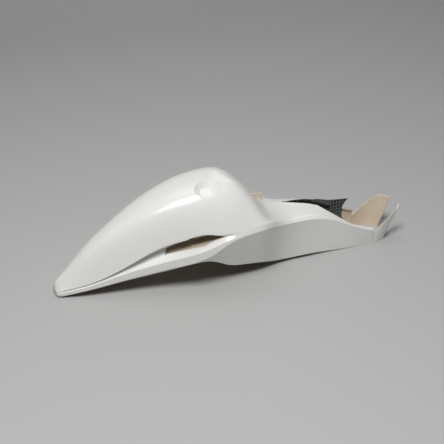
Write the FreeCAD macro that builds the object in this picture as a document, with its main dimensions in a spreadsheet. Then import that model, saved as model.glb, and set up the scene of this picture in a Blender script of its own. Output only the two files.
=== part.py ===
import FreeCAD, Part
import os
import Sketcher

# Race tail section in glass laminate, lying as it would on a bench.
# Working frame: x runs forward from the tail tip, y to the left, z up, in millimetres.
V = FreeCAD.Vector

# Each station is one cross-section of the moulding. step is the distance from the station behind it.
# crown is the height on the centre line and shoulder the half width where the crown rolls over.
# lip is the upper edge of the side groove, brow the height of the blade face under the groove,
# groove how far its root lies inside, crease the widest line and foot the open bottom edge.
# From the waist forward the flanks stand round the V cut, so their widths are given as _out,
# the distance outside the V's mouth.
STATIONS = {
    "tip": dict(step=0, crown=30, shoulder=11, lip_y=19, lip_z=14, groove=1.5, brow=7,
                crease_y=20, crease_z=3, foot_y=17, foot_z=0),
    "nose": dict(step=14, crown=40, shoulder=17, lip_y=25, lip_z=18, groove=2.5, brow=7,
                 crease_y=26, crease_z=6, foot_y=22, foot_z=3),
    "cone": dict(step=61, crown=101, shoulder=29, lip_y=43, lip_z=33, groove=4, brow=9,
                 crease_y=45, crease_z=20, foot_y=40, foot_z=16),
    "channel": dict(step=70, crown=151, shoulder=43, lip_y=60, lip_z=66, groove=12, brow=16,
                    crease_y=61, crease_z=36, foot_y=55, foot_z=31),
    "vent": dict(step=85, crown=196, shoulder=62, lip_y=77, lip_z=110, groove=24, brow=19,
                 crease_y=83, crease_z=55, foot_y=76, foot_z=48),
    "corner": dict(step=86, crown=221, shoulder=76, lip_y=99, lip_z=127, groove=25, brow=20,
                   crease_y=113, crease_z=80, foot_y=104, foot_z=70),
    "flare": dict(step=67, crown=226, shoulder=80, lip_y=113, lip_z=130,
                  crease_y=118, crease_z=118, foot_y=91, foot_z=38),
    "peak": dict(step=42, crown=207, shoulder=81, lip_y=112, lip_z=134,
                 crease_y=116, crease_z=123, foot_y=86, foot_z=32),
    "brink": dict(step=30, crown=173, shoulder=81, lip_y=109, lip_z=136,
                  crease_y=113, crease_z=125, foot_y=82, foot_z=27),
    "stop": dict(step=17, crown=148, shoulder=76, lip_y=98, lip_z=131,
                 crease_y=102, crease_z=121, foot_y=75, foot_z=21),
    "seat": dict(step=20, crown=140, shoulder=60, lip_y=81, lip_z=121,
                 crease_y=86, crease_z=112, foot_y=66, foot_z=14),
    "saddle": dict(step=48, crown=125, shoulder=40, lip_y=60, lip_z=106,
                   crease_y=66, crease_z=102, foot_y=56, foot_z=8),
    "waist": dict(step=50, crown=119, shoulder=32, lip_out=-0.5, lip_z=102,
                  crease_out=7.5, crease_z=98, foot_out=4.5, foot_z=8),
    "beam": dict(step=50, crown=111, shoulder=28, lip_out=-2.5, lip_z=91,
                 crease_out=4.5, crease_z=87, foot_out=1.5, foot_z=4),
    "front": dict(step=80, crown=80, shoulder=29, lip_out=-0.5, lip_z=54,
                  crease_out=6.5, crease_z=49, foot_out=0.5, foot_z=0),
    "end": dict(step=80, crown=52, shoulder=29, lip_out=-0.5, lip_z=29,
                crease_out=6.5, crease_z=24, foot_out=-0.5, foot_z=0),
}

SIZES = {
    "wall": 3,
    "shoulder_drop": 16,
    "drop_below": 30,
    # dish in the right shoulder of the hump, lengths measured from the crown at the blade corner
    "dish_ahead": 22,
    "dish_side": 42,
    "dish_sink": 18,
    "dish_roll": 24,
    "dish_radius": 22,
    "dish_floor_radius": 13,
    "dish_depth": 7,
    # opening in the root of the side groove, lengths measured from the vent station
    "vent_tail": 2,
    "vent_tail_z": 84,
    "vent_arch": 45,
    "vent_arch_z": 121,
    "vent_nose": 128,
    "vent_nose_z": 122,
    "vent_heel": 84,
    "vent_heel_z": 104,
    "vent_inside": 30,
    # V cut in the deck, lengths measured from the saddle station
    "vee_apex": 2,
    "vee_apex_half": 1.5,
    "vee_mid": 85,
    "vee_mid_half": 17,
    "vee_wide": 130,
    "vee_wide_half": 42,
    "vee_mouth": 152,
    "vee_mouth_half": 50.5,
    "vee_floor": 34,
    # flank ends and the horns that carry them forward and inward, lengths from the front station
    "flank_end": 36,
    "horn_start": 22,
    "horn_inset": 6.5,
    "horn_bow": 68,
    "horn_bow_half": 41,
    "horn_foot": 90,
    "horn_gap_half": 20,
    "horn_lean": 31,
    "horn_flare": 4,
    "horn_height": 75,
    "horn_sill": 30,
    "horn_sill_end": 40,
    "horn_heel": 68,
    "horn_heel_z": 52,
    "horn_crown": 101,
    # cloth panel inside the left flank, lengths from the waist station
    "panel_inset": 3,
    "panel_thick": 2,
    "panel_start": 10,
    "panel_low_z": 11,
    "panel_back_z": 86,
    "panel_dip": 102,
    "panel_dip_z": 81,
    "panel_step_z": 58,
    "panel_point": 150,
    "panel_point_z": 76,
    "panel_scoop": 133,
    "panel_scoop_z": 42,
    "panel_toe": 149,
    # raw rib at the foot of the seat stop, lengths from the stop station
    "rib_back": -10,
    "rib_front": 18,
    "rib_back_z": 160,
    "rib_front_z": 157,
    "rib_thick": 4,
}

ACROSS = FreeCAD.Rotation(V(1, 0, 0), 90)
FAR = 400
SLICES = 34
FACE_SPANS = 5


def fill_sheet(doc):
    sheet = doc.addObject("Spreadsheet::Sheet", "sizes")
    values = {}
    for station, measures in STATIONS.items():
        for measure, number in measures.items():
            values[station + "_" + measure] = number
    values.update(SIZES)
    for row, (alias, number) in enumerate(values.items(), start=1):
        sheet.set("A%d" % row, alias)
        sheet.set("B%d" % row, str(number))
        sheet.setAlias("B%d" % row, alias)
    doc.recompute()
    return sheet


def at(station):
    """Distance of a station from the tip, as a sum of sheet names."""
    names = list(STATIONS)
    return " + ".join(name + "_step" for name in names[:names.index(station) + 1])


def value(sheet, terms):
    total = 0.0
    sign = 1
    for word in terms.split():
        if word in "+-":
            sign = 1 if word == "+" else -1
        else:
            total += sign * float(sheet.get(word))
    return total


def bound(terms):
    return " ".join(word if word in "+-" else "sizes." + word for word in terms.split())


def half_profile(sheet, station):
    """Half cross-section of one station from crown to foot, as (y, z) points."""
    def size(measure):
        return float(sheet.get(station + "_" + measure))

    def width(line):
        if line + "_out" in STATIONS[station]:
            return float(sheet.get("vee_mouth_half")) + size(line + "_out")
        return size(line + "_y")

    lip = V(width("lip"), size("lip_z"), 0)
    crease = V(width("crease"), size("crease_z"), 0)
    if "groove" in STATIONS[station]:
        brow = crease + V(0, size("brow"), 0)
        root = (lip + brow) / 2 - V(size("groove"), 0, 0)
    else:
        root = lip + (crease - lip) / 3
        brow = lip + (crease - lip) * 2 / 3
    shoulder = V(size("shoulder"), size("crown") - float(sheet.get("shoulder_drop")), 0)
    foot = V(width("foot"), size("foot_z"), 0)
    return [V(0, size("crown"), 0), shoulder, lip, root, brow, crease, foot]


def guide_lines(sheet):
    """Smooth lines through the stations that never swing past them. Returns profile(x)."""
    xs = [value(sheet, at(station)) for station in STATIONS]
    rows = [half_profile(sheet, station) for station in STATIONS]

    def slopes(line):
        rise = [(line[i + 1] - line[i]) / (xs[i + 1] - xs[i]) for i in range(len(xs) - 1)]
        middle = [2 * a * b / (a + b) if a * b > 0 else 0.0 for a, b in zip(rise, rise[1:])]
        return [rise[0]] + middle + [rise[-1]]

    lines = []
    for point in range(len(rows[0])):
        across = [row[point].x for row in rows]
        height = [row[point].y for row in rows]
        lines.append(((across, slopes(across)), (height, slopes(height))))

    def read(line, x):
        heights, grades = line
        i = max(j for j in range(len(xs) - 1) if xs[j] <= x or j == 0)
        gap = xs[i + 1] - xs[i]
        t = (x - xs[i]) / gap
        if t > 1:
            return heights[-1] + grades[-1] * (x - xs[-1])
        keep = (1 + 2 * t) * (1 - t) ** 2
        return (keep * heights[i] + (1 - keep) * heights[i + 1]
                + gap * t * (1 - t) * ((1 - t) * grades[i] - t * grades[i + 1]))

    return lambda x: [V(read(y, x), read(z, x), 0) for y, z in lines]


def inset_profile(profile, x, wall):
    """The profile at x moved inward so that the wall keeps its thickness on sloping faces too."""
    points = profile(x)
    step = 1.0
    drift = [(after - before) / (2 * step) for before, after in zip(profile(x - step), profile(x + step))]
    path = [V(-points[1].x, points[1].y, 0)] + points
    normals = []
    for a, b in zip(path, path[1:]):
        run = (b - a).normalize()
        normals.append(V(run.y, -run.x, 0))
    moved = []
    for point, flow, back, ahead in zip(points, drift, normals, normals[1:] + normals[-1:]):
        inward = (back + ahead) / (1 + back.dot(ahead))
        slant = flow.dot(V(inward).normalize())
        moved.append(point + inward * wall * (1 + slant ** 2) ** 0.5)
    return moved


def closed_profile(x, points):
    """Control points of a whole section: the arch over the crown, then the sides back round to it."""
    crown, shoulder, lip = points[:3]
    half_crown = V(shoulder.x / 2, crown.y, 0)

    def mirrored(run):
        return [V(-point.x, point.y, 0) for point in reversed(run)]
    arch = mirrored([half_crown, shoulder, lip]) + [crown, half_crown, shoulder, lip]
    sides = points[3:] + mirrored(points[3:])
    return [[V(x, point.x, point.y) for point in run] for run in (arch, sides)]


def patches(rows, degree):
    """Surface whose control points are the rows, cubic along the part, as a run of short faces."""
    net = Part.BSplineSurface()
    along = len(rows) - 3
    across = len(rows[0]) - degree
    net.buildFromPolesMultsKnots(
        rows, [4] + [1] * (along - 1) + [4], [degree + 1] + [1] * (across - 1) + [degree + 1],
        list(range(along + 1)), list(range(across + 1)), False, False, 3, degree)
    faces = []
    for start in range(0, along, FACE_SPANS):
        piece = net.copy()
        piece.segment(start, min(start + FACE_SPANS, along), 0, across)
        faces.append(piece.toShape())
    return faces


def smooth_solid(doc, name, sections):
    """Solid with a smooth crown and plain strips down its sides, through sections of control points."""
    loops = [arch[-1:] + sides + arch[:1] for arch, sides in sections]
    faces = patches([arch for arch, sides in sections], 3)
    for i in range(len(loops[0]) - 1):
        faces += patches([loop[i:i + 2] for loop in loops], 1)
    for end in (0, -1):
        curve = Part.BSplineCurve()
        curve.buildFromPolesMultsKnots(sections[end][0], [4, 1, 1, 1, 4], list(range(5)), False, 3)
        lines = [Part.makeLine(a, b) for a, b in zip(loops[end], loops[end][1:])]
        faces.append(Part.Face(Part.Wire([curve.toShape()] + lines)))
    skin = Part.makeShell(faces)
    skin.sewShape()
    feature = doc.addObject("Part::Feature", name)
    feature.Shape = Part.makeSolid(skin)
    return feature


def outer_form(doc, profile, length):
    pitch = length / SLICES
    return smooth_solid(doc, "outer_form",
                        [closed_profile(pitch * i, profile(pitch * i)) for i in range(SLICES + 1)])


def inner_form(doc, sheet, profile, length):
    wall = float(sheet.get("wall"))
    below = float(sheet.get("drop_below"))
    pitch = (length + below - wall) / SLICES
    rings = []
    for i in range(SLICES + 1):
        x = wall + pitch * i
        points = inset_profile(profile, x, wall)
        rings.append(closed_profile(x, points + [points[-1] - V(0, below, 0)]))
    return smooth_solid(doc, "inner_form", rings)


def outline(doc, sheet, name, placement, corners, arcs=None):
    """Closed sketch through named points. arcs names the point that a curved side passes through."""
    sketch = doc.addObject("Sketcher::SketchObject", name)
    sketch.Placement = placement
    spots = [V(value(sheet, u), value(sheet, v), 0) for u, v in corners]

    def pin(geometry, vertex, terms):
        for kind, term in zip(("DistanceX", "DistanceY"), terms):
            limit = Sketcher.Constraint(kind, -1, 1, geometry, vertex, value(sheet, term))
            index = sketch.addConstraint(limit)
            sketch.setExpression("Constraints[%d]" % index, bound(term))

    ends = []
    for i, start in enumerate(spots):
        stop = spots[(i + 1) % len(spots)]
        through = (arcs or {}).get(i)
        if through:
            middle = V(value(sheet, through[0]), value(sheet, through[1]), 0)
            side = sketch.addGeometry(Part.ArcOfCircle(start, middle, stop), False)
            mark = sketch.addGeometry(Part.Point(middle), True)
            sketch.addConstraint(Sketcher.Constraint("PointOnObject", mark, 1, side))
            pin(mark, 1, through)
        else:
            side = sketch.addGeometry(Part.LineSegment(start, stop), False)
        first = 1 if sketch.getPoint(side, 1).distanceToPoint(start) < 1e-6 else 2
        ends.append((side, first, 3 - first))
    for (side, first, last), (following, lead, trail), corner in zip(ends, ends[1:] + ends[:1],
                                                                     corners[1:] + corners[:1]):
        sketch.addConstraint(Sketcher.Constraint("Coincident", side, last, following, lead))
        pin(following, lead, corner)
    return sketch


def prism(doc, name, sketch, direction, length, start=None):
    feature = doc.addObject("Part::Extrusion", name)
    feature.Base = sketch
    feature.DirMode = "Custom"
    feature.Dir = direction
    feature.Solid = True
    if isinstance(length, str):
        feature.setExpression("LengthFwd", bound(length))
    else:
        feature.LengthFwd = length
    if start:
        feature.setExpression("Placement.Base.y", bound(start))
    return feature


def mirror(doc, name, source):
    feature = doc.addObject("Part::Mirroring", name)
    feature.Source = source
    feature.Normal = V(0, 1, 0)
    return feature


def cut(doc, name, base, tool):
    feature = doc.addObject("Part::Cut", name)
    feature.Base = base
    feature.Tool = tool
    return feature


def dish(doc, name, skin):
    """Tapered dish in the right shoulder, deeper and wider by skin for the inside of the wall."""
    cone = doc.addObject("Part::Cone", name)
    taper = "(sizes.dish_radius - sizes.dish_floor_radius)"
    extra = " + sizes.wall" if skin else ""
    sink = "sizes.wall" if skin else "0"
    cone.setExpression("Radius1", "sizes.dish_floor_radius" + extra)
    cone.setExpression("Radius2", "sizes.dish_floor_radius + 4 * " + taper + extra)
    cone.setExpression("Height", "4 * sizes.dish_depth")
    cone.Placement = FreeCAD.Placement(V(), FreeCAD.Rotation(V(1, 0, 0), 1))
    cone.setExpression("Placement.Rotation.Angle", "sizes.dish_roll * 1 deg")
    cone.setExpression("Placement.Base.x", bound(at("corner") + " + dish_ahead"))
    cone.setExpression("Placement.Base.y", "-sizes.dish_side + %s * sin(sizes.dish_roll * 1 deg)" % sink)
    cone.setExpression("Placement.Base.z",
                       "sizes.corner_crown - sizes.dish_sink - %s * cos(sizes.dish_roll * 1 deg)" % sink)
    return cone


def horn_band(doc, sheet, name, height, lean, flare):
    """Thin curved strip in plan: one level of a horn."""
    front = at("front") + " + "
    wall = float(sheet.get("wall"))
    flank = value(sheet, "vee_mouth_half + front_crease_out - horn_inset")
    start = V(value(sheet, front + "horn_start") + lean, flank + flare, height)
    bow = V(value(sheet, front + "horn_bow") + lean, value(sheet, "horn_bow_half") + flare, height)
    stop = V(value(sheet, front + "horn_foot") + lean, value(sheet, "horn_gap_half"), height)
    outer = Part.Arc(start, bow, stop).toShape()
    centre = outer.Curve.Center
    inner = [point + (centre - point).normalize() * wall for point in (start, bow, stop)]
    edges = [outer, Part.makeLine(stop, inner[2]),
             Part.Arc(inner[2], inner[1], inner[0]).toShape(), Part.makeLine(inner[0], start)]
    feature = doc.addObject("Part::Feature", name)
    feature.Shape = Part.Wire(edges)
    return feature


def make_shell(doc, sheet):
    profile = guide_lines(sheet)
    length = value(sheet, at("end"))
    outer = outer_form(doc, profile, length)
    inner = inner_form(doc, sheet, profile, length)
    skin = cut(doc, "dished_outside", outer, dish(doc, "dish_outside", False))
    core = cut(doc, "dished_inside", inner, dish(doc, "dish_inside", True))
    shell = cut(doc, "closed_shell", skin, core)

    vent_x = at("vent") + " + "
    vent = outline(doc, sheet, "vent_outline", FreeCAD.Placement(V(), ACROSS),
                   [(vent_x + "vent_tail", "vent_tail_z"), (vent_x + "vent_heel", "vent_heel_z"),
                    (vent_x + "vent_nose", "vent_nose_z")],
                   {2: (vent_x + "vent_arch", "vent_arch_z")})
    vent_left = prism(doc, "vent_left", vent, V(0, 1, 0), FAR, "vent_inside")
    vent_right = mirror(doc, "vent_right", vent_left)
    shell = cut(doc, "vented_left", shell, vent_left)
    shell = cut(doc, "vented_shell", shell, vent_right)

    saddle = at("saddle") + " + "
    vee = outline(doc, sheet, "vee_outline", FreeCAD.Placement(),
                  [(saddle + "vee_apex", "vee_apex_half"), (saddle + "vee_mid", "vee_mid_half"),
                   (saddle + "vee_wide", "vee_wide_half"), (saddle + "vee_mouth", "vee_mouth_half"),
                   (at("end") + " + drop_below", "vee_mouth_half"),
                   (at("end") + " + drop_below", "vee_apex_half")])
    vee_left = prism(doc, "vee_left", vee, V(0, 0, 1), FAR)
    vee_left.setExpression("Placement.Base.z", "sizes.vee_floor")
    vee_right = mirror(doc, "vee_right", vee_left)
    slot = doc.addObject("Part::Box", "vee_slot")
    slot.setExpression("Length", bound("drop_below + " + at("end") + " - "
                                       + (saddle + "vee_apex").replace(" + ", " - ")))
    slot.setExpression("Width", "4 * sizes.vee_apex_half")
    slot.Height = FAR
    slot.setExpression("Placement.Base.x", bound(saddle + "vee_apex"))
    slot.setExpression("Placement.Base.y", "-2 * sizes.vee_apex_half")
    slot.setExpression("Placement.Base.z", "sizes.vee_floor")
    for tool in (vee_left, vee_right, slot):
        shell = cut(doc, tool.Name + "_cut", shell, tool)

    trim = doc.addObject("Part::Box", "front_trim")
    trim.Length = trim.Width = trim.Height = FAR
    trim.setExpression("Placement.Base.x", bound(at("front") + " + flank_end"))
    trim.Placement.Base.y = -FAR / 2
    trim.Placement.Base.z = -FAR / 2
    shell = cut(doc, "trimmed_shell", shell, trim)

    left_horn = make_horn(doc, sheet)
    right_horn = mirror(doc, "right_horn", left_horn)
    joined = doc.addObject("Part::MultiFuse", "horned_shell")
    joined.Shapes = [shell, left_horn, right_horn]
    return outer, joined


def make_horn(doc, sheet):
    """Left horn: a thin band bent inward round the front, leaning forward, cut to its outline."""
    top = float(sheet.get("horn_height"))
    foot = horn_band(doc, sheet, "horn_foot_band", 0.0, 0.0, 0.0)
    crown = horn_band(doc, sheet, "horn_top_band", top, float(sheet.get("horn_lean")),
                      float(sheet.get("horn_flare")))
    band = doc.addObject("Part::Loft", "horn_band")
    band.Sections = [foot, crown]
    band.Solid = True
    band.Ruled = True
    front = at("front") + " + "
    waste = outline(doc, sheet, "horn_waste_outline", FreeCAD.Placement(V(), ACROSS),
                    [(front + "horn_start", "horn_sill"), (front + "horn_sill_end", "horn_sill"),
                     (front + "horn_crown", "horn_height"),
                     (front + "horn_crown", "horn_height + horn_sill"),
                     (front + "horn_start", "horn_height + horn_sill")],
                    {1: (front + "horn_heel", "horn_heel_z")})
    tool = prism(doc, "horn_waste", waste, V(0, 1, 0), FAR)
    return cut(doc, "left_horn", band, tool)


def make_panel(doc, sheet, shell):
    waist = at("waist") + " + "
    shape = outline(doc, sheet, "panel_outline", FreeCAD.Placement(V(), ACROSS),
                    [(waist + "panel_start", "panel_low_z"), (waist + "panel_toe", "panel_low_z"),
                     (waist + "panel_point", "panel_point_z"), (waist + "panel_dip", "panel_dip_z"),
                     (waist + "panel_dip", "panel_step_z"), (waist + "panel_start", "panel_back_z")],
                    {1: (waist + "panel_scoop", "panel_scoop_z")})
    sheet_solid = prism(doc, "panel_blank", shape, V(0, 1, 0), "panel_thick",
                        "vee_mouth_half - panel_inset")
    return cut(doc, "seated_panel", sheet_solid, shell)


def make_rib(doc, sheet, outer):
    stop = at("stop") + " + "
    shape = outline(doc, sheet, "rib_outline", FreeCAD.Placement(V(), ACROSS),
                    [(stop + "rib_back", "seat_crease_z"), (stop + "rib_front", "seat_crease_z"),
                     (stop + "rib_front", "rib_front_z"), (stop + "rib_back", "rib_back_z")])
    blank = prism(doc, "rib_blank", shape, V(0, 1, 0), "rib_thick")
    blank.setExpression("Placement.Base.y", "-sizes.rib_thick / 2")
    return cut(doc, "seated_rib", blank, outer)


def check(doc):
    for feature in doc.Objects:
        if "Invalid" in feature.State or "Error" in feature.State:
            raise RuntimeError(feature.Label + " did not compute")
        if hasattr(feature, "Shape") and (feature.Shape.isNull() or not feature.Shape.isValid()):
            raise RuntimeError(feature.Label + " has no valid shape")


def main():
    doc = FreeCAD.newDocument("tail_section")
    sheet = fill_sheet(doc)
    outer, shell = make_shell(doc, sheet)
    solids = {
        "tail_shell": shell,
        "cloth_panel": make_panel(doc, sheet, shell),
        "stop_rib": make_rib(doc, sheet, outer),
    }
    doc.recompute()
    box = FreeCAD.BoundBox()
    for solid in solids.values():
        box.add(solid.Shape.optimalBoundingBox(False))
    rest = FreeCAD.Placement(V(-box.Center.x, -box.Center.y, -box.ZMin), FreeCAD.Rotation())
    nodes = []
    for label, solid in solids.items():
        node = doc.addObject("Part::Compound", label)
        node.Links = [solid]
        node.Label = label
        node.Placement = rest
        nodes.append(node)
    doc.recompute()
    check(doc)
    os.makedirs("parts", exist_ok=True)
    for node in nodes:
        node.Shape.exportStep("parts/" + node.Label + ".step")


main()
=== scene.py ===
"""Race tail section: gelcoat outside, raw glass laminate inside, woven cloth on the left flank.

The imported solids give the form. This script gives them their finishes, rounds the tail tip, and adds
what the solids lack: a raw flange under each vent and the free edge of the cloth.
"""

import math

import bmesh
import bpy
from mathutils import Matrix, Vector


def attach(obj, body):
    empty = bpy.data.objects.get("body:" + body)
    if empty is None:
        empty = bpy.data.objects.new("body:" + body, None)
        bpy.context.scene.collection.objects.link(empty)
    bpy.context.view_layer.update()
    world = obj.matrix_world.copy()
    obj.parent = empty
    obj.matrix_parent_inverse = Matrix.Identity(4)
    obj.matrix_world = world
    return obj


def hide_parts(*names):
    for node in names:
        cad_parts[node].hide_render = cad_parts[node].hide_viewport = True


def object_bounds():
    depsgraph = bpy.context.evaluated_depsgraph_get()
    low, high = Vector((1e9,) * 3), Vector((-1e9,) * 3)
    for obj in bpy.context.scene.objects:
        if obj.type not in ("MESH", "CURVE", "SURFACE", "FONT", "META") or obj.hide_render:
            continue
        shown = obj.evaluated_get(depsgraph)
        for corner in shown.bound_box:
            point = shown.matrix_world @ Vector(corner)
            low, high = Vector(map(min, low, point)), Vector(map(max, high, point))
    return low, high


bl_info = {
    "name": "Race Tail Section",
    "version": (1, 0, 0),
    "blender": (4, 5, 0),
    "location": "View3D > Sidebar > Tail",
    "description": "Dresses the packed tail section with its gelcoat, laminate and cloth",
    "category": "Object",
}

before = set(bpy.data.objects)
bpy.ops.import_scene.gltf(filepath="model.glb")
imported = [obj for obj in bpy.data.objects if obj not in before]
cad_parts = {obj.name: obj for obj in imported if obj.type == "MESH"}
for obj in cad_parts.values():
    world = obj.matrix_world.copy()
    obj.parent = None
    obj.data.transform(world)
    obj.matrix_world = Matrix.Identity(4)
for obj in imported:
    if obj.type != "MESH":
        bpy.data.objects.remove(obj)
CAD_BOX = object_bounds()
MM = 0.001


def linear(hex_colour):
    """sRGB hex such as E8E8E4 as a linear RGBA tuple."""
    channels = [int(hex_colour[i:i + 2], 16) / 255 for i in (0, 2, 4)]
    return tuple(c / 12.92 if c <= 0.04045 else ((c + 0.055) / 1.055) ** 2.4
                 for c in channels) + (1.0,)


def dimmed(colour, shares):
    """Linear colour with its red, green and blue cut to their shares."""
    return tuple(c * share for c, share in zip(colour, shares)) + (1.0,)


def feed(tree, target, inputs):
    """Gives a node its inputs: a socket is linked in, anything else is set as the value."""
    for name, source in inputs.items():
        if isinstance(source, bpy.types.NodeSocket):
            tree.links.new(source, target.inputs[name])
        else:
            target.inputs[name].default_value = source


def node(tree, kind, inputs=None, **settings):
    """Adds one node with its settings and inputs."""
    made = tree.nodes.new(kind)
    for name, setting in settings.items():
        setattr(made, name, setting)
    feed(tree, made, inputs or {})
    return made


def maths(tree, operation, *inputs):
    """Result of one Math node."""
    return node(tree, "ShaderNodeMath", dict(enumerate(inputs)), operation=operation).outputs["Value"]


def ramp(tree, source, low, high):
    """Colour between two ends, each given as a position along the source and a linear colour."""
    made = node(tree, "ShaderNodeValToRGB", {"Fac": source})
    for end, (position, colour) in zip(made.color_ramp.elements, (low, high)):
        end.position = position
        end.color = colour
    return made.outputs["Color"]


def new_material(name):
    """New material with its node tree and its shader."""
    material = bpy.data.materials.new(name)
    material.use_nodes = True
    tree = material.node_tree
    return material, tree, tree.nodes["Principled BSDF"]


class TailShellFinish(bpy.types.PropertyGroup):
    """Finish of the moulding, outside and inside"""
    gelcoat: bpy.props.StringProperty(
        name="Gelcoat", description="sRGB hex of the moulded outside", default="EFEEEB")
    roughness: bpy.props.FloatProperty(
        name="Roughness", description="How matt the mould face is", default=0.26,
        min=0, max=1, subtype="FACTOR")
    ripple: bpy.props.FloatProperty(
        name="Ripple", description="Width of the ripple left by the mould", default=9 * MM,
        precision=4, subtype="DISTANCE", unit="LENGTH")
    haze: bpy.props.FloatProperty(
        name="Haze", description="Width of the patches of duller shine", default=70 * MM,
        precision=4, subtype="DISTANCE", unit="LENGTH")
    edge_round: bpy.props.FloatProperty(
        name="Edge round", description="Radius that the shine gives to moulded edges",
        default=1.8 * MM, precision=4, subtype="DISTANCE", unit="LENGTH")
    laminate: bpy.props.StringProperty(
        name="Laminate", description="sRGB hex of the raw inside", default="E0D1BC")
    strand: bpy.props.FloatProperty(
        name="Strand", description="Length of one chopped glass strand's streak", default=9 * MM,
        precision=4, subtype="DISTANCE", unit="LENGTH")
    pool: bpy.props.FloatProperty(
        name="Pool", description="Width of the places where resin gathered", default=60 * MM,
        precision=4, subtype="DISTANCE", unit="LENGTH")


class ClothPanelFinish(bpy.types.PropertyGroup):
    """Finish of the woven cloth"""
    dark: bpy.props.StringProperty(
        name="Tow", description="sRGB hex of the tows", default="1E2224")
    # painted sheen: this paler colour is painted along the edges of the tows and stands in for the
    # light they catch
    sheen: bpy.props.StringProperty(
        name="Tow sheen", description="sRGB hex of the lines between tows", default="6C7877")
    tow: bpy.props.FloatProperty(
        name="Tow width", description="Width of one woven tow", default=8.5 * MM,
        precision=4, subtype="DISTANCE", unit="LENGTH")


class TailStage(bpy.types.PropertyGroup):
    """Floor and camera"""
    floor: bpy.props.StringProperty(
        name="Floor", description="sRGB hex of the sweep", default="BABAB9")
    grain: bpy.props.FloatProperty(
        name="Grain", description="Width of the sweep's paper grain", default=16 * MM,
        precision=4, subtype="DISTANCE", unit="LENGTH")
    azimuth: bpy.props.FloatProperty(
        name="Azimuth", description="Camera direction round the part", default=math.radians(-22),
        subtype="ANGLE")
    elevation: bpy.props.FloatProperty(
        name="Elevation", description="Camera height above the horizon", default=math.radians(27),
        subtype="ANGLE")
    distance: bpy.props.FloatProperty(
        name="Distance", description="Camera distance from its aim point", default=2.5,
        subtype="DISTANCE")
    aim: bpy.props.FloatVectorProperty(
        name="Aim", description="Point the camera looks at", default=(-0.02044, 0.01742, 0.09174),
        subtype="TRANSLATION")
    lens: bpy.props.FloatProperty(
        name="Lens", description="Focal length in millimetres on a 36 mm sensor", default=88.95)


# polyester, epoxy and their gelcoats bend light alike
RESIN_IOR = 1.5
# hazy patches of the gelcoat: what is left of the white, and the roughness taken off and put on
HAZE_SHARES = (0.98, 0.98, 0.98)
HAZE_ROUGHNESS = (-0.02, 0.03)
# laminate: how much finer its streaks are across than along, what is left of the beige in a streak,
# and the amounts of strand and resin between which one turns into the other
STRAND_STRETCH = (1.0, 2.2, 3.0)
STREAK_SHARES = (0.78, 0.74, 0.68)
STREAK_SPAN = (0.1, 0.42)
# cloth: it runs up the flank and then in under the deck, so this much of the way inward counts as
# height. The paler painted sheen along the tows' edges, which stands in for the light they catch,
# starts and ends at these distances from a tow's middle, in tows
CLOTH_TURN = -0.6
TOW_SHEEN = (0.3, 0.48)


def gelcoat_material(finish):
    """Polyester gelcoat off a polished mould: white, glossy, with a faint ripple in its shine."""
    material, tree, shader = new_material("white_gelcoat")
    spot = node(tree, "ShaderNodeTexCoord").outputs["Object"]
    ripple = node(tree, "ShaderNodeTexNoise",
                  {"Vector": spot, "Scale": 1 / finish.ripple, "Detail": 2.0}).outputs["Fac"]
    haze = node(tree, "ShaderNodeTexNoise",
                {"Vector": spot, "Scale": 1 / finish.haze, "Detail": 5.0}).outputs["Fac"]
    gloss = node(tree, "ShaderNodeMapRange",
                 {"Value": haze, "To Min": finish.roughness + HAZE_ROUGHNESS[0],
                  "To Max": finish.roughness + HAZE_ROUGHNESS[1]})
    edges = node(tree, "ShaderNodeBevel", {"Radius": finish.edge_round})
    bump = node(tree, "ShaderNodeBump",
                {"Height": ripple, "Normal": edges.outputs["Normal"],
                 "Strength": 0.05, "Distance": 0.6 * MM})
    white = linear(finish.gelcoat)
    feed(tree, shader, {
        "Base Color": ramp(tree, haze, (0.0, dimmed(white, HAZE_SHARES)), (1.0, white)),
        "Roughness": gloss.outputs["Result"],
        "Normal": bump.outputs["Normal"],
        "IOR": RESIN_IOR,
        "Coat Weight": 0.25,
        "Coat Roughness": 0.12,
    })
    return material


def laminate_material(finish):
    """Chopped strand mat wetted with resin: matt beige, streaked where strands cross each other."""
    material, tree, shader = new_material("raw_glass_laminate")
    spot = node(tree, "ShaderNodeTexCoord").outputs["Object"]
    stretched = node(tree, "ShaderNodeMapping", {"Vector": spot, "Scale": STRAND_STRETCH})
    strands = node(tree, "ShaderNodeTexNoise",
                   {"Vector": stretched.outputs["Vector"], "Scale": 1 / finish.strand,
                    "Detail": 6.0, "Roughness": 0.7, "Distortion": 1.6}).outputs["Fac"]
    pools = node(tree, "ShaderNodeTexNoise",
                 {"Vector": spot, "Scale": 1 / finish.pool, "Detail": 3.0}).outputs["Fac"]
    bump = node(tree, "ShaderNodeBump",
                {"Height": strands, "Strength": 0.5, "Distance": 0.8 * MM})
    beige = linear(finish.laminate)
    feed(tree, shader, {
        "Base Color": ramp(tree, maths(tree, "MULTIPLY", strands, pools),
                           (STREAK_SPAN[0], dimmed(beige, STREAK_SHARES)), (STREAK_SPAN[1], beige)),
        "Normal": bump.outputs["Normal"],
        "Roughness": 0.62,
        "IOR": RESIN_IOR,
    })
    return material


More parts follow.
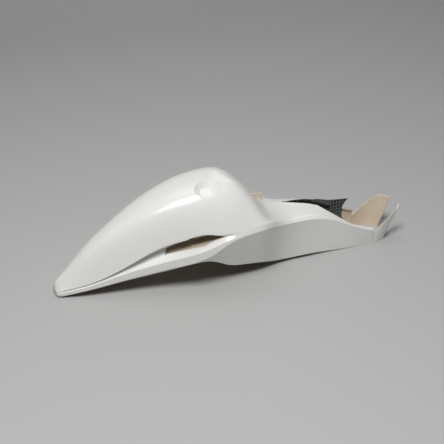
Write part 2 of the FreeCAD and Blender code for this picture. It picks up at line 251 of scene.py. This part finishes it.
def cloth_material(finish):
    """Plain-woven dark tows in clear resin: each arches over its neighbour, and a paler painted sheen
    along its edges stands in for the light it catches.
    """
    material, tree, shader = new_material("woven_tow_cloth")
    spot = node(tree, "ShaderNodeTexCoord").outputs["Object"]
    apart = node(tree, "ShaderNodeSeparateXYZ", {"Vector": spot}).outputs
    along = apart["X"]
    up = maths(tree, "MULTIPLY_ADD", apart["Y"], CLOTH_TURN, apart["Z"])
    # distance from each tow's middle: it shapes the arches and places the painted sheen at the tows'
    # edges
    sheen_bands = []
    arches = []
    for way in (along, up):
        tow = maths(tree, "FRACT", maths(tree, "DIVIDE", way, finish.tow))
        off_middle = maths(tree, "ABSOLUTE", maths(tree, "SUBTRACT", tow, 0.5))
        sheen_bands.append(off_middle)
        arches.append(maths(tree, "COSINE", maths(tree, "MULTIPLY", off_middle, math.pi)))
    flat = node(tree, "ShaderNodeCombineXYZ", {"X": along, "Y": up})
    squares = node(tree, "ShaderNodeTexChecker",
                   {"Vector": flat.outputs["Vector"], "Scale": 1 / finish.tow})
    over = node(tree, "ShaderNodeMix",
                {"Factor": squares.outputs["Fac"], "A": arches[0], "B": arches[1]})
    bump = node(tree, "ShaderNodeBump",
                {"Height": over.outputs["Result"], "Strength": 0.6, "Distance": 0.6 * MM})
    # the base colour paints a paler sheen at the tows' edges, standing in for the light they catch
    feed(tree, shader, {
        "Base Color": ramp(tree, maths(tree, "MAXIMUM", *sheen_bands),
                           (TOW_SHEEN[0], linear(finish.dark)), (TOW_SHEEN[1], linear(finish.sheen))),
        "Normal": bump.outputs["Normal"],
        "Roughness": 0.34,
        "IOR": RESIN_IOR,
        "Coat Weight": 0.4,
        "Coat Roughness": 0.1,
    })
    return material


def paper_material(setting):
    """Background paper: an even, matt, pale grey with just enough grain not to look like plastic."""
    material, tree, shader = new_material("matt_paper_sweep")
    spot = node(tree, "ShaderNodeTexCoord").outputs["Object"]
    fibre = node(tree, "ShaderNodeTexNoise",
                 {"Vector": spot, "Scale": 1 / setting.grain, "Detail": 4.0})
    bump = node(tree, "ShaderNodeBump",
                {"Height": fibre.outputs["Fac"], "Strength": 0.05, "Distance": 1 * MM})
    feed(tree, shader, {
        "Base Color": linear(setting.floor),
        "Normal": bump.outputs["Normal"],
        "Roughness": 0.8,
    })
    return material


# a face of the shell is outside if it looks away from a core line through the hollow: slabs along the
# length in which the ridge is found, and the share of the ridge's height at which the line runs
SLAB = 20 * MM
CORE_HEIGHT = 0.42
# near the tail tip and along the horns, faces that look out of the end count as outside too
NOSE_LENGTH = 20 * MM
HORN_LENGTH = 100 * MM
END_PULL = 3
# stretch of the left flank's inside that is lined with cloth
LINING = (136 * MM, 305 * MM)
OUTSIDE, INSIDE, LINED = range(3)
# rounding of the tail tip: how far it reaches, the rings cut in it, what is left of the blunt end,
# the height it closes towards, and how near two points are to be one
ROUND_LENGTH = 11 * MM
ROUND_RINGS = (0.03, 0.1, 0.2, 0.34, 0.52, 0.75, 1.0)
ROUND_END = 0.66
ROUND_CENTRE = 14 * MM
WELD = 0.02 * MM


def corner_directions(mesh):
    """Normal of each face corner."""
    return [tuple(corner.vector) for corner in mesh.corner_normals]


def face_finishes(mesh):
    """Which finish each face takes, found from a line that runs through the middle of the hollow."""
    low, high = CAD_BOX
    ridge = {}
    for vertex in mesh.vertices:
        slab = int((vertex.co.x - low.x) / SLAB)
        ridge[slab] = max(ridge.get(slab, 0.0), vertex.co.z)
    directions = corner_directions(mesh)
    finishes = []
    for face in mesh.polygons:
        spot = face.center
        core = CORE_HEIGHT * ridge[int((spot.x - low.x) / SLAB)]
        into_horns = max(0.0, spot.x - (high.x - HORN_LENGTH))
        into_nose = max(0.0, low.x + NOSE_LENGTH - spot.x)
        outward = Vector((END_PULL * into_horns - END_PULL * into_nose, spot.y, spot.z - core))
        # a sliver has no sound normal of its own, but its corners keep the surface's
        facing = sum((Vector(directions[i]) for i in face.loop_indices), Vector())
        if facing.dot(outward) > 0:
            finishes.append(OUTSIDE)
        elif spot.y > 0 and LINING[0] < spot.x < LINING[1]:
            finishes.append(LINED)
        else:
            finishes.append(INSIDE)
    return finishes


def round_tip(mesh):
    """Rounds the blunt end of the tail and keeps the surface normals everywhere else."""
    start = CAD_BOX[0].x
    kept = mesh.attributes.new("kept_normal", "FLOAT_VECTOR", "CORNER")
    kept.data.foreach_set("vector", [c for direction in corner_directions(mesh) for c in direction])
    form = bmesh.new()
    form.from_mesh(mesh)
    for share in ROUND_RINGS:
        bmesh.ops.bisect_plane(form, geom=form.verts[:] + form.edges[:] + form.faces[:],
                               plane_co=(start + share * ROUND_LENGTH, 0, 0), plane_no=(1, 0, 0))
    tip = [vertex for vertex in form.verts if vertex.co.x < start + ROUND_LENGTH - WELD]
    bmesh.ops.remove_doubles(form, verts=tip, dist=WELD)
    normals = form.loops.layers.float_vector["kept_normal"]
    for vertex in form.verts:
        along = max(0.0, (vertex.co.x - start) / ROUND_LENGTH)
        if along < 1 - WELD / ROUND_LENGTH:
            keep = ROUND_END + (1 - ROUND_END) * math.sqrt(1 - (1 - along) ** 2)
            vertex.co.y *= keep
            vertex.co.z = ROUND_CENTRE + (vertex.co.z - ROUND_CENTRE) * keep
            for corner in vertex.link_loops:
                corner[normals] = (0.0, 0.0, 0.0)
            for edge in vertex.link_edges:
                edge.smooth = True
            for face in vertex.link_faces:
                face.smooth = True
    form.to_mesh(mesh)
    form.free()
    # a zero direction leaves that corner to the smooth shading of the rounded tip
    directions = [tuple(corner.vector) for corner in mesh.attributes["kept_normal"].data]
    mesh.attributes.remove(mesh.attributes["kept_normal"])
    mesh.normals_split_custom_set(directions)


class TAIL_OT_shell(bpy.types.Operator):
    """Skin of the moulding: gelcoat on the mould side, raw laminate and cloth lining in the hollow"""
    bl_idname = "tail.shell"
    bl_label = "Tail shell"

    def execute(self, context):
        finish = context.scene.tail_shell_finish
        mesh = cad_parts["tail_shell"].data.copy()
        mesh.name = "shell_skin"
        mesh.materials.clear()
        # in the order of OUTSIDE, INSIDE and LINED
        mesh.materials.append(gelcoat_material(finish))
        mesh.materials.append(laminate_material(finish))
        mesh.materials.append(cloth_material(context.scene.cloth_panel_finish))
        mesh.polygons.foreach_set("material_index", face_finishes(mesh))
        round_tip(mesh)
        skin = bpy.data.objects.new("shell_skin", mesh)
        context.scene.collection.objects.link(skin)
        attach(skin, "root")
        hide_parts("tail_shell")
        return {"FINISHED"}


class TAIL_OT_rib(bpy.types.Operator):
    """Raw upstand at the foot of the seat stop"""
    bl_idname = "tail.rib"
    bl_label = "Stop rib"

    def execute(self, context):
        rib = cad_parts["stop_rib"].data
        rib.materials.clear()
        rib.materials.append(bpy.data.materials["raw_glass_laminate"])
        return {"FINISHED"}


def add_sheet(context, name, rows, thickness, material):
    """Thin closed sheet through a grid of points in millimetres, thickened by one vector."""
    across = len(rows[0])
    front = [Vector(spot) * MM for row in rows for spot in row]
    back = [spot + Vector(thickness) * MM for spot in front]
    count = len(front)
    faces = []
    for start in range(0, count - across, across):
        for a in range(start, start + across - 1):
            faces.append((a, a + 1, a + across + 1, a + across))
    backs = [tuple(i + count for i in reversed(face)) for face in faces]
    # once round the grid: first row, right side, last row, left side
    rim = [*range(across), *range(2 * across - 1, count, across),
           *range(count - 2, count - across - 1, -1), *range(count - 2 * across, 0, -across)]
    edges = [(b, a, a + count, b + count) for a, b in zip(rim, rim[1:] + rim[:1])]
    mesh = bpy.data.meshes.new(name)
    mesh.from_pydata(front + back, [], faces + backs + edges)
    mesh.materials.append(material)
    form = bmesh.new()
    form.from_mesh(mesh)
    bmesh.ops.recalc_face_normals(form, faces=form.faces[:])
    form.to_mesh(mesh)
    form.free()
    sheet = bpy.data.objects.new(name, mesh)
    context.scene.collection.objects.link(sheet)
    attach(sheet, "root")


# raw flange under the left vent, in millimetres: points of its edge at the wall, and how far it
# reaches inward and rises from each; the right one mirrors it
FLANGE = (
    dict(edge=(-188.5, 67, 82.8), depth=36, rise=9),
    dict(edge=(-161.5, 76.5, 89.4), depth=45, rise=11),
    dict(edge=(-140.5, 85, 94.5), depth=45, rise=16),
    dict(edge=(-127.5, 90, 97.7), depth=40, rise=14),
    dict(edge=(-119.5, 93, 99.6), depth=41, rise=10),
    dict(edge=(-118.2, 93.5, 99.9), depth=33, rise=6),
    dict(edge=(-106.5, 97.9, 102.8), depth=37.5, rise=3.2),
    dict(edge=(-86.5, 98.4, 111), depth=34, rise=1),
    dict(edge=(-62.5, 101.9, 120.8), depth=30, rise=0),
)
FLANGE_STEPS = 5
FLANGE_THICK = 1.5


class TAIL_OT_flanges(bpy.types.Operator):
    """Raw laminate flange that runs inward from the lower edge of each vent"""
    bl_idname = "tail.flanges"
    bl_label = "Vent flanges"

    def execute(self, context):
        laminate = bpy.data.materials["raw_glass_laminate"]
        shares = [i / FLANGE_STEPS for i in range(FLANGE_STEPS + 1)]
        for name, side in (("left", 1), ("right", -1)):
            rows = []
            for line in FLANGE:
                x, y, z = line["edge"]
                rows.append([(x, side * (y - share * line["depth"]), z + share ** 2 * line["rise"])
                             for share in shares])
            add_sheet(context, "vent_flange_" + name, rows, (0, 0, -FLANGE_THICK), laminate)
        return {"FINISHED"}


# free edge of the cloth in millimetres: along the V cut in the deck, and the straight line above it
WEB = (
    ((204.5, 16, 103), (219.5, 24, 99.5), (249.5, 40.5, 79), (271.5, 49.5, 66)),
    ((204.5, 16, 108), (219.5, 24, 104), (249.5, 38, 90.7), (271.5, 48.5, 81)),
)
WEB_THICK = 1.5


class TAIL_OT_cloth(bpy.types.Operator):
    """Woven panel on the left flank and the free edge of cloth that joins it to the deck"""
    bl_idname = "tail.cloth"
    bl_label = "Cloth panel"

    def execute(self, context):
        cloth = bpy.data.materials["woven_tow_cloth"]
        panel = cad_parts["cloth_panel"].data
        panel.materials.clear()
        panel.materials.append(cloth)
        add_sheet(context, "cloth_web", WEB, (0, -WEB_THICK, 0), cloth)
        return {"FINISHED"}


# paper sweep in metres: half its width and height, the wall's distance, and the bend between
FLOOR_REACH = 12.0
WALL_BACK = 3.0
SWEEP_RADIUS = 1.2
SWEEP_STEPS = 12
LAMPS = {
    "front": dict(place=(-0.68, -1.25, 2.62), size=1.1, watts=66),
    "overhead": dict(place=(0.1, 0.9, 2.6), size=1.6, watts=10),
    "rim": dict(place=(1.6, 2.4, 1.8), size=1.4, watts=6),
}
LAMP_AIM = (0.0, 0.0, 0.1)
WORLD_COLOUR = "F2F4F6"
WORLD_STRENGTH = 0.1
SENSOR_WIDTH = 36.0


def add_sweep(context, material):
    """Floor that bends up into a wall behind the part."""
    bend = WALL_BACK - SWEEP_RADIUS
    line = [(-FLOOR_REACH, 0.0), (bend, 0.0)]
    for i in range(1, SWEEP_STEPS + 1):
        turn = math.radians(90 * i / SWEEP_STEPS)
        line.append((bend + SWEEP_RADIUS * math.sin(turn), SWEEP_RADIUS * (1 - math.cos(turn))))
    line.append((WALL_BACK, FLOOR_REACH))
    spots = [(side * FLOOR_REACH, y, z) for y, z in line for side in (-1, 1)]
    faces = [(2 * i, 2 * i + 1, 2 * i + 3, 2 * i + 2) for i in range(len(line) - 1)]
    mesh = bpy.data.meshes.new("sweep")
    mesh.from_pydata(spots, [], faces)
    mesh.materials.append(material)
    mesh.polygons.foreach_set("use_smooth", [True] * len(faces))
    sweep = bpy.data.objects.new("sweep", mesh)
    context.scene.collection.objects.link(sweep)


def add_lights(context):
    """Three soft lamps and a dim even surround."""
    for name, lamp in LAMPS.items():
        light = bpy.data.lights.new(name, "AREA")
        light.size = lamp["size"]
        light.energy = lamp["watts"]
        holder = bpy.data.objects.new(name, light)
        holder.location = lamp["place"]
        aim = Vector(LAMP_AIM) - holder.location
        holder.rotation_euler = aim.to_track_quat("-Z", "Y").to_euler()
        context.scene.collection.objects.link(holder)
    world = bpy.data.worlds.new("studio")
    world.use_nodes = True
    feed(world.node_tree, world.node_tree.nodes["Background"],
         {"Color": linear(WORLD_COLOUR), "Strength": WORLD_STRENGTH})
    context.scene.world = world


def add_camera(context, setting):
    """Camera at the photograph's angle."""
    back = Vector((math.sin(setting.azimuth) * math.cos(setting.elevation),
                   -math.cos(setting.azimuth) * math.cos(setting.elevation),
                   math.sin(setting.elevation)))
    view = bpy.data.cameras.new("camera")
    view.lens = setting.lens
    view.sensor_width = SENSOR_WIDTH
    camera = bpy.data.objects.new("camera", view)
    camera.location = Vector(setting.aim) + back * setting.distance
    camera.rotation_euler = (-back).to_track_quat("-Z", "Y").to_euler()
    context.scene.collection.objects.link(camera)
    context.scene.camera = camera


class TAIL_OT_stage(bpy.types.Operator):
    """Plain pale sweep, soft lamps and the camera"""
    bl_idname = "tail.stage"
    bl_label = "Stage"

    def execute(self, context):
        setting = context.scene.tail_stage
        add_sweep(context, paper_material(setting))
        add_lights(context)
        add_camera(context, setting)
        context.scene.view_settings.view_transform = "Standard"
        return {"FINISHED"}


class TAIL_PT_panel(bpy.types.Panel):
    """Lists the steps that dress the tail section"""
    bl_idname = "TAIL_PT_panel"
    bl_label = "Tail section"
    bl_space_type = "VIEW_3D"
    bl_region_type = "UI"
    bl_category = "Tail"

    def draw(self, context):
        for settings in GROUPS:
            group = getattr(context.scene, settings)
            box = self.layout.box()
            for name in group.__annotations__:
                box.prop(group, name)
        for step in STEPS:
            self.layout.operator(step.bl_idname)


GROUPS = {
    "tail_shell_finish": TailShellFinish,
    "cloth_panel_finish": ClothPanelFinish,
    "tail_stage": TailStage,
}
STEPS = (TAIL_OT_stage, TAIL_OT_shell, TAIL_OT_flanges, TAIL_OT_rib, TAIL_OT_cloth)


def register():
    for name, group in GROUPS.items():
        bpy.utils.register_class(group)
        setattr(bpy.types.Scene, name, bpy.props.PointerProperty(type=group))
    for step in STEPS:
        bpy.utils.register_class(step)
    bpy.utils.register_class(TAIL_PT_panel)


def unregister():
    bpy.utils.unregister_class(TAIL_PT_panel)
    for step in reversed(STEPS):
        bpy.utils.unregister_class(step)
    for name, group in reversed(GROUPS.items()):
        delattr(bpy.types.Scene, name)
        bpy.utils.unregister_class(group)


def main():
    register()
    bpy.ops.tail.stage()
    bpy.ops.tail.shell()
    bpy.ops.tail.flanges()
    bpy.ops.tail.rib()
    bpy.ops.tail.cloth()


if __name__ == "__main__":
    main()
